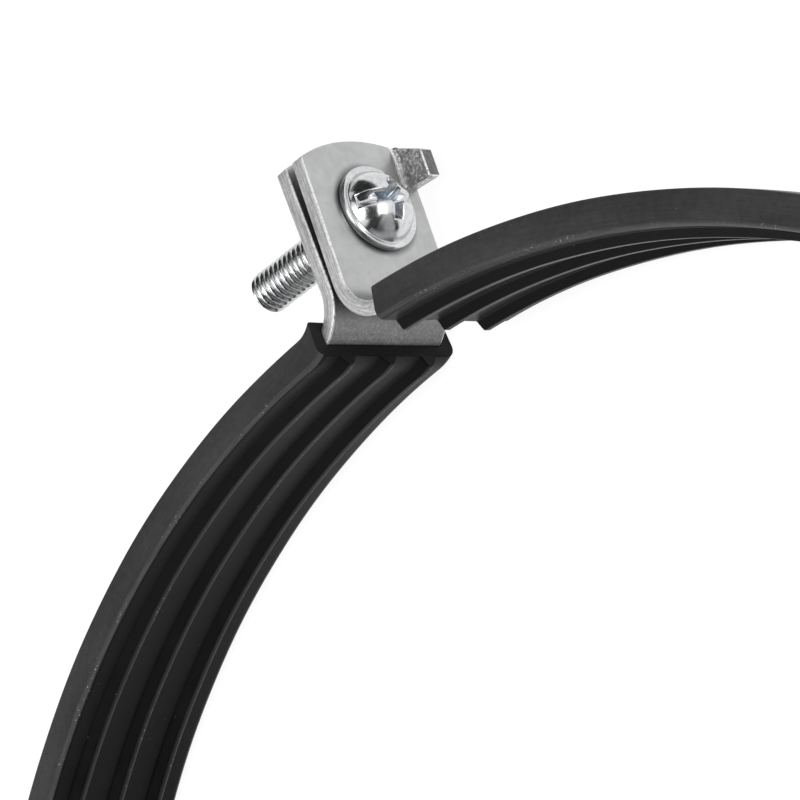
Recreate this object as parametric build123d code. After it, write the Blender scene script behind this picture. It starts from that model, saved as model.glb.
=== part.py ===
from build123d import *
import os
from math import asin, cos, degrees, radians, sin

# Rubber lined pipe clamp: two steel half rings whose ears are drawn together by two screws.
# Millimetres. The origin is the centre of the bore, halfway across the band. +Z runs along the
# pipe, and the halves part along Y: the upper half is on the +Y side, the lower on the -Y side.

# Pipe and lining section
PIPE_DIAMETER = 250.0  # outside diameter of the pipe, touched by the rib crests
RIB_HEIGHT = 1.2  # rib crest above the lining's floor
RIB_PITCH = 7.1
RIB_COUNT = 3
RIB_CREST_WIDTH = 1.0
RIB_ROOT_WIDTH = 3.0
FLOOR_THICKNESS = 1.5  # rubber between the floor and the band
SIDE_THICKNESS = 2.0  # rubber beside each edge of the band
LIP_THICKNESS = 0.9  # rubber hooked over the outer face of the band
LIP_REACH = 2.2
SIDE_BEVEL = 1.2  # inner corner of each side face
FRONT_LINING_SETBACK = 0.9  # from the end of the front ear's bend to the upper lining's end
BACK_LINING_TURN = 26.0  # degrees of the threaded ear's bend that the lower lining follows

# Band and ears
BAND_WIDTH = 20.0
BAND_THICKNESS = 2.0
EAR_GAP = 0.3  # between the two ears, at their root
BACK_EAR_LEAN = 2.5  # degrees that the threaded ear leans away from the other
FRONT_BEND = 5.0  # inner bend radius at the root of the ear under the screw head
BACK_BEND = 5.0  # inner bend radius at the root of the threaded ear
SCREW_RISE = 14.9  # screw axis above the outer face of the band
EAR_TOP = 10.25  # top of the ear's arc above the screw axis
EAR_ARC = 22.0  # radius of the ear's end
EAR_ARC_SHIFT = -0.8  # the arc's centre, across the band
FRONT_TRIM = 1.0  # cut off the front ear's edge on the side of the lug

# Lug folded forward from the edge of the front ear
LUG_HEIGHT = 4.5  # above the face of the ear
LUG_BASE_LOW = 3.3  # lower and upper end of its foot, above the screw axis
LUG_BASE_HIGH = 9.4
LUG_END_LOW = 2.7  # lower and upper end of its free edge
LUG_END_HIGH = 6.3
LUG_BEND = 0.6

# M6 screw with a collar, and its recess for a cross or flat blade
SCREW_RADIUS = 3.0
SCREW_LENGTH = 24.0
SCREW_POINT = 0.9  # chamfer at the tip
CLEARANCE_HOLE_PLAY = 0.3  # radial, in the front ear
THREAD_PLAY = 0.05  # radial, in the threaded ear
COLLAR_RADIUS = 6.0
COLLAR_THICKNESS = 1.0
DOME_RADIUS = 5.1
DOME_HEIGHT = 3.5
RECESS_TURN = 8.0  # degrees that the blade slot is turned from the pipe's direction
CROSS_REACH = 2.9
CROSS_FLOOR_REACH = 1.2
CROSS_WIDTH = 1.3
CROSS_FLOOR_WIDTH = 0.8
CROSS_DEPTH = 3.0
SLOT_REACH = 4.7
SLOT_FLOOR_REACH = 3.4
SLOT_WIDTH = 1.5
SLOT_FLOOR_WIDTH = 1.0
SLOT_DEPTH = 2.0

# Connection nut welded to the lower band
NUT_ACROSS_FLATS = 13.0
NUT_HEIGHT = 10.0
NUT_HOLE_RADIUS = 3.4  # tapping size for an M8 thread
NUT_CHAMFER = 0.8
NUT_HOLE_CHAMFER = 0.6

# Radii about the pipe's axis, and lengths along Y, that follow from the sizes above
PIPE_RADIUS = PIPE_DIAMETER / 2
FLOOR_RADIUS = PIPE_RADIUS + RIB_HEIGHT
BAND_INNER = FLOOR_RADIUS + FLOOR_THICKNESS
BAND_OUTER = BAND_INNER + BAND_THICKNESS
LIP_RADIUS = BAND_OUTER + LIP_THICKNESS
SCREW_X = BAND_OUTER + SCREW_RISE
EAR_TIP_X = SCREW_X + EAR_TOP
FRONT_FACE_Y = EAR_GAP / 2 + BAND_THICKNESS
HALF_BAND = BAND_WIDTH / 2
HALF_LINING = HALF_BAND + SIDE_THICKNESS

# Drawing plane across the screws: X stays X, and the sketch's Y is the pipe's direction
ACROSS_SCREWS = Plane(origin=(0, 0, 0), x_dir=(1, 0, 0), z_dir=(0, -1, 0))


def write(name, shape):
    """Write one sub-part to its own STEP file."""
    shape.label = name
    export_step(shape, os.path.join("parts", name + ".step"))


def with_mirror_image(shape):
    """Return a shape at the -X joint together with its mirror image at the +X joint."""
    return shape + mirror(shape, about=Plane.YZ)


def on_half(side, shape):
    """Return a shape made for the +Y half as it is, or reflected for the -Y half."""
    return shape if side > 0 else mirror(shape, about=Plane.XZ)


def half_ring_outline(bend, lean):
    """Return the edge-on outline of the +Y half: its half ring and two ears with bent roots.

    bend is the inner bend radius at each ear's root, and lean is how many degrees each ear
    leans away from the other half.
    """
    seat = Pos(-BAND_OUTER, EAR_GAP / 2) * Rot(Z=-lean)
    depth = BAND_OUTER + EAR_TIP_X
    this_side = seat * Rectangle(2 * depth, depth, align=(Align.CENTER, Align.MIN))
    length = EAR_TIP_X + EAR_TOP - BAND_INNER
    strip = Rectangle(length, BAND_THICKNESS, align=(Align.MAX, Align.MIN))
    ear = seat * Pos(2 * BAND_THICKNESS, 0) * strip
    disc = Circle(BAND_OUTER) & this_side & mirror(this_side, about=Plane.YZ)
    outline = disc + with_mirror_image(ear) - Circle(BAND_INNER)
    for sign in (-1, 1):
        inner_corner = (sign * BAND_INNER, EAR_GAP / 2, 0)
        outline = fillet(nearest(outline, inner_corner), bend + BAND_THICKNESS)
        outer_corner = (sign * BAND_OUTER, FRONT_FACE_Y, 0)
        outline = fillet(nearest(outline, outer_corner), bend)
    return outline


def nearest(outline, point):
    """Return the corner of an outline nearest to a point."""
    return outline.vertices().sort_by_distance(point)[0]


def ear_outline(back_edge):
    """Return the face-on outline of the ear at -X, drawn in X and Z, with an arc for its end.

    back_edge is how far the ear reaches to the -Z side of the band's middle.
    """
    arc = Pos(EAR_ARC - EAR_TIP_X, EAR_ARC_SHIFT) * Circle(EAR_ARC)
    length = EAR_TIP_X - BAND_INNER
    width = HALF_BAND + back_edge
    plate = Pos(-BAND_INNER, HALF_BAND) * Rectangle(length, width, align=(Align.MAX, Align.MAX))
    return plate & arc


def trim_ears(half, bend, back_edge):
    """Return a half with its two square-ended ears cut to their outline above the bend."""
    start = BAND_OUTER + bend
    blank = Rectangle(EAR_TIP_X, 2 * BAND_WIDTH, align=(Align.MAX, Align.CENTER))
    waste = Pos(-start, 0) * blank - ear_outline(back_edge)
    return half - with_mirror_image(extrude(ACROSS_SCREWS * waste, SCREW_LENGTH, both=True))


def screw_holes(radius):
    """Return the two cylinders that cut the screw holes of a pair of ears."""
    circle = ACROSS_SCREWS * Pos(-SCREW_X, 0) * Circle(radius)
    return with_mirror_image(extrude(circle, SCREW_LENGTH, both=True))


def lug(edge_z):
    """Return the lug at -X: a tapered tongue folded forward from the ear's edge at edge_z."""
    foot_y = EAR_GAP / 2
    align = (Align.MIN, Align.MIN)
    foot = Rectangle(LUG_BEND + 2 * BAND_THICKNESS, BAND_THICKNESS, align=align)
    tongue = Rectangle(BAND_THICKNESS, BAND_THICKNESS + LUG_HEIGHT, align=align)
    fold = foot + tongue
    fold = fillet(nearest(fold, (0, 0, 0)), LUG_BEND + BAND_THICKNESS)
    fold = fillet(nearest(fold, (BAND_THICKNESS, BAND_THICKNESS, 0)), LUG_BEND)
    end_on = Plane(origin=(0, foot_y, edge_z), x_dir=(0, 0, 1), z_dir=(-1, 0, 0))
    folded = extrude(end_on * fold, SCREW_X + EAR_TIP_X)
    side_view = Polygon(
        (-LUG_BASE_LOW, foot_y),
        (-LUG_BASE_HIGH, foot_y),
        (-LUG_BASE_HIGH, FRONT_FACE_Y),
        (-LUG_END_HIGH, FRONT_FACE_Y + LUG_HEIGHT),
        (-LUG_END_LOW, FRONT_FACE_Y + LUG_HEIGHT),
        (-LUG_BASE_LOW, FRONT_FACE_Y),
        align=None,
    )
    return folded & extrude(Pos(-SCREW_X, 0) * side_view, BAND_WIDTH, both=True)


def lug_notch(edge_z):
    """Return the block cut from the ear at -X to make room for the lug's rounded fold."""
    fold_width = LUG_BEND + BAND_THICKNESS
    length = EAR_TIP_X - SCREW_X
    height = 2 * FRONT_FACE_Y
    notch = Box(length, height, 2 * fold_width, align=(Align.MAX, Align.CENTER, Align.CENTER))
    return Pos(-SCREW_X - LUG_BASE_LOW, FRONT_FACE_Y, edge_z) * notch


def upper_band():
    """The +Y half: a bent strip with plain screw holes and a lug on each ear."""
    back_edge = HALF_BAND - FRONT_TRIM
    half = extrude(half_ring_outline(FRONT_BEND, 0), HALF_BAND, both=True)
    half = trim_ears(half, FRONT_BEND, back_edge)
    half = half - with_mirror_image(lug_notch(-back_edge))
    half = half + with_mirror_image(lug(-back_edge))
    return half - screw_holes(SCREW_RADIUS + CLEARANCE_HOLE_PLAY)


def lower_band():
    """The -Y half: a bent strip whose ears carry the screw threads."""
    half = extrude(half_ring_outline(BACK_BEND, BACK_EAR_LEAN), HALF_BAND, both=True)
    half = on_half(-1, trim_ears(half, BACK_BEND, HALF_BAND))
    return half - screw_holes(SCREW_RADIUS + THREAD_PLAY)


def rib_outline():
    """Return one rib of the lining in section, its middle at z = 0."""
    return Polygon(
        (FLOOR_RADIUS, RIB_ROOT_WIDTH / 2),
        (PIPE_RADIUS, RIB_CREST_WIDTH / 2),
        (PIPE_RADIUS, -RIB_CREST_WIDTH / 2),
        (FLOOR_RADIUS, -RIB_ROOT_WIDTH / 2),
        align=None,
    )


def lining_section():
    """Return the lining's section: a ribbed channel whose lips hook over the band's edges.

    X is the distance from the pipe's axis, and Y is the distance along the pipe.
    """
    from_axis = (Align.MIN, Align.CENTER)
    wall = LIP_RADIUS - FLOOR_RADIUS
    body = Pos(FLOOR_RADIUS, 0) * Rectangle(wall, 2 * HALF_LINING, align=from_axis)
    body = chamfer(body.vertices().sort_by(Axis.X)[:2], SIDE_BEVEL)
    seat = Pos(BAND_INNER, 0) * Rectangle(BAND_THICKNESS, BAND_WIDTH, align=from_axis)
    mouth_width = BAND_WIDTH - 2 * LIP_REACH
    mouth = Pos(BAND_OUTER, 0) * Rectangle(LIP_THICKNESS, mouth_width, align=from_axis)
    body = body - seat - mouth
    for index in range(RIB_COUNT):
        offset = (index - (RIB_COUNT - 1) / 2) * RIB_PITCH
        body = body + Pos(0, offset) * rib_outline()
    return body


def bend_angle(bend, lean):
    """Return the angle about the pipe's axis, from +X, at which a half's ring meets its bend."""
    tilt = radians(lean)
    ear_offset = EAR_GAP / 2 * cos(tilt) - BAND_OUTER * sin(tilt)
    return lean + degrees(asin((ear_offset + BAND_THICKNESS + bend) / (BAND_OUTER + bend)))


def upper_lining():
    """The +Y half's lining, which stops short of the bends of the front ears."""
    start = bend_angle(FRONT_BEND, 0) + degrees(FRONT_LINING_SETBACK / BAND_OUTER)
    section = Rot(Z=start) * (Plane.XZ * lining_section())
    return revolve(section, Axis.Z, revolution_arc=180 - 2 * start)


def lower_lining():
    """The -Y half's lining, whose ends follow the bends of the threaded ears."""
    start = bend_angle(BACK_BEND, BACK_EAR_LEAN)
    section = Rot(Z=start) * (Plane.XZ * lining_section())
    ring = revolve(section, Axis.Z, revolution_arc=180 - 2 * start)
    bend_centre = Rot(Z=start) * Pos(BAND_OUTER + BACK_BEND, 0) * Vertex(0, 0, 0)
    bend_axis = Axis(bend_centre.center(), (0, 0, 1))
    end = revolve(section, bend_axis, revolution_arc=BACK_LINING_TURN)
    return on_half(-1, ring + with_mirror_image(end))


def recess():
    """Return the cutter for the screw's recess, its mouth at the top of the dome at z = 0."""
    cutter = blade_cut(SLOT_REACH, SLOT_FLOOR_REACH, SLOT_WIDTH, SLOT_FLOOR_WIDTH, SLOT_DEPTH)
    for turn in (0, 90):
        wing = blade_cut(CROSS_REACH, CROSS_FLOOR_REACH, CROSS_WIDTH, CROSS_FLOOR_WIDTH, CROSS_DEPTH)
        cutter = cutter + Rot(Z=turn) * wing
    return Rot(Z=-RECESS_TURN) * cutter


def blade_cut(reach, floor_reach, width, floor_width, depth):
    """Return a slot along Y that narrows both ways from its mouth at z = 0 to its floor."""
    across = Plane.XZ * tapered_side(width / 2, floor_width / 2, depth)
    along = Plane.YZ * tapered_side(reach, floor_reach, depth)
    return extrude(across, reach, both=True) & extrude(along, width, both=True)


def tapered_side(half_mouth, half_floor, depth):
    """Return the outline of a slot seen from its side or end, its mouth at the top."""
    mouth = [(-half_mouth, 0), (half_mouth, 0)]
    floor = [(half_floor, -depth), (-half_floor, -depth)]
    return Polygon(*mouth, *floor, align=None)


def screw():
    """Return one screw along Z with its head up, its collar seated at z = 0."""
    shank = Cylinder(SCREW_RADIUS, SCREW_LENGTH, align=(Align.CENTER, Align.CENTER, Align.MAX))
    shank = chamfer(shank.edges().sort_by(Axis.Z)[0], SCREW_POINT)
    collar = Cylinder(COLLAR_RADIUS, COLLAR_THICKNESS, align=(Align.CENTER, Align.CENTER, Align.MIN))
    top = COLLAR_THICKNESS + DOME_HEIGHT
    ball_radius = (DOME_RADIUS**2 + DOME_HEIGHT**2) / (2 * DOME_HEIGHT)
    head = Cylinder(COLLAR_RADIUS, top, align=(Align.CENTER, Align.CENTER, Align.MIN))
    dome = head & Pos(0, 0, top - ball_radius) * Sphere(ball_radius)
    return shank + collar + dome - Pos(0, 0, top) * recess()


def screw_at(sign):
    """Return a screw with its collar on the front ear at -X (sign -1) or +X (sign 1)."""
    return Pos(sign * SCREW_X, FRONT_FACE_Y, 0) * Rot(X=-90) * screw()


def connection_nut():
    """Return the long hexagon nut on the lower band's crown, its foot shaped to the band."""
    hexagon = RegularPolygon(NUT_ACROSS_FLATS / 2, 6, major_radius=False)
    foot = BAND_OUTER - BAND_THICKNESS
    top = BAND_OUTER + NUT_HEIGHT
    prism = extrude(Pos(0, 0, foot) * hexagon, top - foot)
    corner = NUT_ACROSS_FLATS / 2 + NUT_CHAMFER
    turned = Cylinder(corner, top, align=(Align.CENTER, Align.CENTER, Align.MIN))
    turned = chamfer(turned.edges().sort_by(Axis.Z)[-1], NUT_CHAMFER)
    hole = Cylinder(NUT_HOLE_RADIUS, top, align=(Align.CENTER, Align.CENTER, Align.MIN))
    mouth = Pos(0, 0, top) * Cone(
        NUT_HOLE_RADIUS, NUT_HOLE_RADIUS + NUT_HOLE_CHAMFER, NUT_HOLE_CHAMFER,
        align=(Align.CENTER, Align.CENTER, Align.MAX),
    )
    nut = Rot(X=90) * ((prism & turned) - hole - mouth)
    return nut - Cylinder(BAND_OUTER, 2 * BAND_WIDTH)


os.makedirs("parts", exist_ok=True)
write("upper_band", upper_band())
write("lower_band", lower_band())
write("upper_lining", upper_lining())
write("lower_lining", lower_lining())
write("left_screw", screw_at(-1))
write("right_screw", screw_at(1))
write("connection_nut", connection_nut())
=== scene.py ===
"""Rubber lined pipe clamp: two lined steel half rings drawn together by two screws.

The steel halves are flat strips bent into a half ring with an ear at each end. A ribbed rubber
channel is hooked over each half, and a long nut for the hanging rod sits on the lower crown.
Lengths are written in millimetres and become metres when a mesh is made. The ring's axis is Z,
the upper half is on the +Y side and the lower half on the -Y side.
"""

import logging
import math
from collections.abc import Callable, Sequence
from dataclasses import dataclass, field
from enum import Enum

import bmesh
import bpy
import numpy as np
from mathutils import Matrix, Vector


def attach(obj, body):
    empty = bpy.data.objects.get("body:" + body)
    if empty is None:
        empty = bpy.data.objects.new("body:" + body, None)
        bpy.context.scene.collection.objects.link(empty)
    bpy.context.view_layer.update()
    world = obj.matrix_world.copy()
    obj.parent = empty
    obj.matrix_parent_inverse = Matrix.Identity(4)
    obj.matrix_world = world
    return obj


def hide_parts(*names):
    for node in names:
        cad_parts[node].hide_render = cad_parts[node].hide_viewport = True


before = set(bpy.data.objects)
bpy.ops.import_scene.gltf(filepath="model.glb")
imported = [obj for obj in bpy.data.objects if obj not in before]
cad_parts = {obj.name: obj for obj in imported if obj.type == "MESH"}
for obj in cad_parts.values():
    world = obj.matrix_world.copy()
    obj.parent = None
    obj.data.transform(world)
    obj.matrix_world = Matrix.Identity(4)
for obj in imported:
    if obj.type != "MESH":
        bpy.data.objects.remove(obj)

LOG = logging.getLogger("pipe_clamp")
MM = 0.001
CRISP_ANGLE = 38.0
FULL_TURN = 2 * math.pi
Array = np.ndarray


class Half(Enum):
    """The two halves of the clamp, with the side of the joint that each lies on."""

    UPPER = 1
    LOWER = -1


class Joint(Enum):
    """The two joints between the halves, with the side of the ring that each lies on."""

    LEFT = -1
    RIGHT = 1


class Role(Enum):
    """The record's material slots."""

    BAND = "band_steel"
    LINING = "lining_rubber"
    SCREW = "screw_steel"


# ---------------------------------------------------------------------------
# Sizes shared by the pieces, in millimetres
# ---------------------------------------------------------------------------


@dataclass(frozen=True)
class ClampSizes:
    """The clamp's driving sizes, as the solids have them."""

    pipe_radius: float = 125.0
    rib_height: float = 1.2
    floor_thickness: float = 1.5
    band_thickness: float = 2.0
    band_width: float = 20.0
    edge_round: float = 0.28
    lip_thickness: float = 0.9
    ear_gap: float = 0.3
    front_bend: float = 5.0
    back_bend: float = 5.0
    back_lean: float = 2.5
    screw_rise: float = 14.9
    ear_top: float = 10.25
    ear_arc: float = 22.0
    ear_arc_shift: float = -0.8
    front_trim: float = 1.0

    @property
    def floor_radius(self) -> float:
        """Radius of the lining's floor between its ribs."""
        return self.pipe_radius + self.rib_height

    @property
    def band_inner(self) -> float:
        """Radius of the band's inner face."""
        return self.floor_radius + self.floor_thickness

    @property
    def band_outer(self) -> float:
        """Radius of the band's outer face."""
        return self.band_inner + self.band_thickness

    @property
    def band_middle(self) -> float:
        """Radius halfway through the band."""
        return self.band_inner + self.band_thickness / 2

    @property
    def screw_x(self) -> float:
        """Distance of a screw's axis from the middle of the clamp."""
        return self.band_outer + self.screw_rise

    @property
    def ear_tip_x(self) -> float:
        """Distance of an ear's outermost point from the middle of the clamp."""
        return self.screw_x + self.ear_top

    @property
    def half_band(self) -> float:
        """Half of the band's width."""
        return self.band_width / 2

    @property
    def front_face_y(self) -> float:
        """Height of the ear face under a screw's collar, above the plane of the joint."""
        return self.ear_gap / 2 + self.band_thickness


SIZES = ClampSizes()


# ---------------------------------------------------------------------------
# Paths and surfaces
# ---------------------------------------------------------------------------


@dataclass(frozen=True)
class BentPath:
    """A plane path of straight and round stretches that run smoothly into each other.

    Each stretch is a length and a curvature, which is one over the radius and is positive where
    the path turns left.
    """

    start: tuple[float, float]
    heading: float
    stretches: tuple[tuple[float, float], ...]

    @property
    def length(self) -> float:
        """Length of the whole path."""
        return sum(length for length, _ in self.stretches)

    def at(self, along: Array) -> tuple[Array, Array]:
        """Find points of the path and its left-hand normals.

        Within a stretch that starts at heading h, a point d further on is the stretch's start
        plus d * sin(k d / 2) / (k d / 2) in the direction h + k d / 2, where k is the curvature.

        Args:
            along: Distances from the path's start, any shape.

        Returns:
            The points and the unit normals, each with a last axis of two.
        """
        points = np.zeros(along.shape + (2,))
        normals = np.zeros(along.shape + (2,))
        base, heading, passed = np.array(self.start), self.heading, 0.0
        last = len(self.stretches) - 1
        for index, (length, curvature) in enumerate(self.stretches):
            here = (along >= passed) if index else np.ones(along.shape, bool)
            if index < last:
                here = here & (along < passed + length)
            step = along - passed
            turn = curvature * step
            chord = step * np.sinc(turn / FULL_TURN)
            aim = heading + turn / 2
            moved = np.stack([chord * np.cos(aim), chord * np.sin(aim)], -1) + base
            facing = heading + turn
            normal = np.stack([-np.sin(facing), np.cos(facing)], -1)
            points[here], normals[here] = moved[here], normal[here]
            whole = length * np.sinc(curvature * length / FULL_TURN)
            aim_end = heading + curvature * length / 2
            base = base + whole * np.array([math.cos(aim_end), math.sin(aim_end)])
            heading, passed = heading + curvature * length, passed + length
        return points, normals


def half_ring_path(bend: float, lean: float) -> tuple[BentPath, float, float]:
    """Lay out the middle line of the strip of a half ring, from ear tip to ear tip.

    The bend's centre lies at the bend radius from the ear's outer face and from the band's outer
    face, so its distance from the pipe's axis is the sum of the two radii.

    Args:
        bend: Inner radius of the bend at each ear's root.
        lean: Degrees that each ear leans away from the other half.

    Returns:
        The path, the length of one straight ear, and the length of one bend.
    """
    tilt = math.radians(lean)
    middle = bend + SIZES.band_thickness / 2
    reach = SIZES.band_middle + middle
    root = SIZES.ear_gap / 2 * math.cos(tilt) - SIZES.band_outer * math.sin(tilt)
    offset = root + SIZES.band_thickness + bend
    across = math.sqrt(reach**2 - offset**2)
    foot_x = -(across * math.cos(tilt) - (offset - middle) * math.sin(tilt))
    ear = (SIZES.ear_tip_x + foot_x) / math.cos(tilt)
    start_y = (offset - middle) / math.cos(tilt) + SIZES.ear_tip_x * math.tan(tilt)
    polar = tilt + math.asin(offset / reach)
    turn = math.pi / 2 - polar + tilt
    ring = math.pi - 2 * polar
    stretches = (
        (ear, 0.0),
        (turn * middle, 1 / middle),
        (ring * SIZES.band_middle, -1 / SIZES.band_middle),
        (turn * middle, 1 / middle),
        (ear, 0.0),
    )
    return BentPath((-SIZES.ear_tip_x, start_y), -tilt, stretches), ear, turn * middle


def rounded_loop(across: int, corner: int) -> tuple[Array, Array]:
    """Lay out a loop of points round a flat rectangle with rounded edges.

    Each point is a place on the core rectangle, from -1 to 1 both ways, and the direction in
    which the rounding pushes it. The loop runs along the top, down one side, back along the
    bottom and up the other side.

    Args:
        across: Number of steps along the top and along the bottom.
        corner: Number of steps round each of the four edges.

    Returns:
        The core places and the directions, each of shape (points, 2).
    """
    core, push = [], []
    top = np.linspace(-1, 1, across + 1)
    quarter = np.linspace(0, math.pi / 2, corner + 1)[1:-1]
    for side in (1, -1):
        core += [(side * a, side) for a in top]
        push += [(0.0, side)] * len(top)
        core += [(side, side)] * len(quarter)
        push += [(side * math.sin(q), side * math.cos(q)) for q in quarter]
        core += [(side, side), (side, -side)]
        push += [(side, 0.0)] * 2
        core += [(side, -side)] * len(quarter)
        push += [(side * math.cos(q), -side * math.sin(q)) for q in quarter]
    return np.array(core, float), np.array(push, float)


def rounded_outline(corners: Sequence[tuple[float, float, float]], steps: int = 6) -> Array:
    """Draw a closed outline whose corners are rounded.

    Args:
        corners: Each corner's two coordinates and the radius of its rounding.
        steps: Number of steps round each rounded corner.

    Returns:
        The outline's points, of shape (points, 2).
    """
    points = []
    count = len(corners)
    for index, (x, y, radius) in enumerate(corners):
        here = np.array([x, y])
        if radius <= 0:
            points.append(here)
            continue
        back = np.array(corners[index - 1][:2]) - here
        ahead = np.array(corners[(index + 1) % count][:2]) - here
        back, ahead = back / np.linalg.norm(back), ahead / np.linalg.norm(ahead)
        half = math.acos(float(np.clip(back @ ahead, -1, 1))) / 2
        middle = (back + ahead) / np.linalg.norm(back + ahead)
        centre = here + middle * radius / math.sin(half)
        first = here + back * radius / math.tan(half) - centre
        last = here + ahead * radius / math.tan(half) - centre
        share = np.linspace(0, 1, steps + 1)[:, None]
        swing = math.pi / 2 - half
        arc = np.sin((1 - share) * 2 * swing) * first + np.sin(share * 2 * swing) * last
        points.extend(centre + arc / math.sin(2 * swing))
    return np.array(points)


def grid_quads(rows: int, columns: int) -> Array:
    """List the four-cornered faces of a grid whose columns close on themselves.

    Args:
        rows: Number of rows of points.
        columns: Number of points in each row.

    Returns:
        Point numbers of shape (faces, 4).
    """
    row, column = np.meshgrid(np.arange(rows - 1), np.arange(columns), indexing="ij")
    beside = (column + 1) % columns
    corners = [row * columns + column, row * columns + beside]
    corners += [(row + 1) * columns + beside, (row + 1) * columns + column]
    return np.stack(corners, -1).reshape(-1, 4)


@dataclass
class Shell:
    """One closed surface: a grid of closed loops with a face over its first and last loop.

    Two marks, each from 0 to 1, tell the finishes where to change. On the strip, "cut" is a
    sheared edge and "wear" is soil; between about 0.1 and 0.5, on the lugs and near the bends,
    "wear" also carries painted shade and painted glints. On a screw, "cut" is the root of the
    thread, where painted shade darkens the grooves, and "wear" the depth of the recess. On
    rubber, "cut" is a sawn end and "wear" a side wall, painted greyer partly for scuffing and
    partly as painted light; its rise beside a wall carries painted sheen, and about a third
    along the crest of a rib marks a painted highlight.
    """

    points: Array
    uv: Array
    cut: Array
    wear: Array
    caps: tuple[Sequence[int], ...] | None = None

    def faces(self) -> list[list[int]]:
        """List the shell's faces as point numbers.

        Returns:
            The grid's quads and the faces that close its two ends.
        """
        rows, columns = self.points.shape[:2]
        faces = grid_quads(rows, columns).tolist()
        last = (rows - 1) * columns
        if self.caps is None:
            return faces + [list(range(columns))[::-1], list(range(last, last + columns))]
        for cap in self.caps:
            faces.append(list(cap)[::-1])
            faces.append([last + number for number in cap])
        return faces


def strip_caps(across: int, loop: int) -> tuple[Sequence[int], ...]:
    """List the quads that close the end of a flat rounded strip.

    Args:
        across: Number of steps along the top of its loop.
        loop: Number of points in its loop.

    Returns:
        Point numbers of each quad, joining the top edge to the bottom edge.
    """
    bottom = loop // 2
    return tuple(
        (step, step + 1, bottom + across - step - 1, bottom + across - step)
        for step in range(across)
    )


def make_piece(name: str, shells: Sequence[Shell], sharp: float = CRISP_ANGLE) -> bpy.types.Object:
    """Turn closed shells into one mesh object at the origin.

    Doubled points are merged, faces are turned outwards, and edges sharper than a limit stay
    crisp under smooth shading.

    Args:
        name: The piece's name.
        shells: Its closed surfaces, in millimetres.
        sharp: Angle in degrees from which an edge stays crisp.

    Returns:
        The new object, with the UV map "strip" and the marks "cut" and "wear" as attributes.
    """
    starts = np.cumsum([0] + [shell.points.shape[0] * shell.points.shape[1] for shell in shells])
    points = np.concatenate([shell.points.reshape(-1, 3) for shell in shells]) * MM
    strip = np.concatenate([shell.uv.reshape(-1, 2) for shell in shells])
    faces = [
        [int(start) + number for number in face]
        for start, shell in zip(starts, shells, strict=False)
        for face in shell.faces()
    ]
    mesh = bpy.data.meshes.new(name)
    mesh.from_pydata(points.tolist(), [], faces)
    for label in ("cut", "wear"):
        values = np.concatenate([getattr(shell, label).reshape(-1) for shell in shells])
        attribute = mesh.attributes.new(label, "FLOAT", "POINT")
        attribute.data.foreach_set("value", values.astype(np.float32))
    layer = mesh.uv_layers.new(name="strip")
    numbers = np.zeros(len(mesh.loops), np.int32)
    mesh.loops.foreach_get("vertex_index", numbers)
    layer.data.foreach_set("uv", strip[numbers].astype(np.float32).ravel())
    tidy_mesh(mesh, sharp)
    piece = bpy.data.objects.new(name, mesh)
    bpy.context.scene.collection.objects.link(piece)
    return piece


def tidy_mesh(mesh: bpy.types.Mesh, sharp: float) -> None:
    """Merge a mesh's doubles, turn its faces outwards and shade it smooth up to an angle.

    Args:
        mesh: The mesh to tidy in place.
        sharp: Angle in degrees from which an edge stays crisp.
    """
    edit = bmesh.new()
    edit.from_mesh(mesh)
    bmesh.ops.remove_doubles(edit, verts=edit.verts, dist=1e-7)
    bmesh.ops.dissolve_degenerate(edit, edges=edit.edges, dist=1e-7)
    bmesh.ops.recalc_face_normals(edit, faces=edit.faces)
    for face in edit.faces:
        face.smooth = True
    edit.to_mesh(mesh)
    edit.free()
    mesh.set_sharp_from_angle(angle=math.radians(sharp))
    mesh.update()


def combine(piece: bpy.types.Object, other: bpy.types.Object, how: str, sharp: float) -> None:
    """Join a helper shape to a piece, or cut it away, and delete the helper.

    Args:
        piece: The piece that changes.
        other: The helper shape.
        how: "UNION" or "DIFFERENCE".
        sharp: Angle in degrees from which an edge stays crisp.
    """
    step = piece.modifiers.new("shape", "BOOLEAN")
    step.operation, step.object, step.solver = how, other, "EXACT"
    graph = bpy.context.evaluated_depsgraph_get()
    result = bpy.data.meshes.new_from_object(piece.evaluated_get(graph))
    piece.modifiers.remove(step)
    old, piece.data = piece.data, result
    result.name = piece.name
    bpy.data.meshes.remove(old)
    helper = other.data
    bpy.data.objects.remove(other)
    bpy.data.meshes.remove(helper)
    tidy_mesh(result, sharp)


def smooth_least(first: Array, second: Array, blend: float) -> Array:
    """Return the lesser of two heights, with the crease between them rounded.

    The result is the lesser value less a parabola that is a quarter of the blend deep where the
    two are equal and fades out where they differ by the blend.
    """
    near = np.clip(1 - np.abs(first - second) / blend, 0, None)
    return np.minimum(first, second) - near**2 * blend / 4


def wander(seed: int, waves: Sequence[float], along: Array, phase: Array | float = 0.0) -> Array:
    """Return a slow, repeatable unevenness between about -1 and 1.

    It is the mean of sine waves of the given lengths whose phases come from a seeded generator.
    """
    shifts = np.random.default_rng(seed).uniform(0, FULL_TURN, (len(waves), 2))
    total = sum(
        np.sin(FULL_TURN * along / wave + shift[0] + phase * (1 + shift[1]))
        for wave, shift in zip(waves, shifts, strict=True)
    )
    return total / len(waves)


# ---------------------------------------------------------------------------
# Shader desk and node groups
# ---------------------------------------------------------------------------

Socket = bpy.types.NodeSocket


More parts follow.
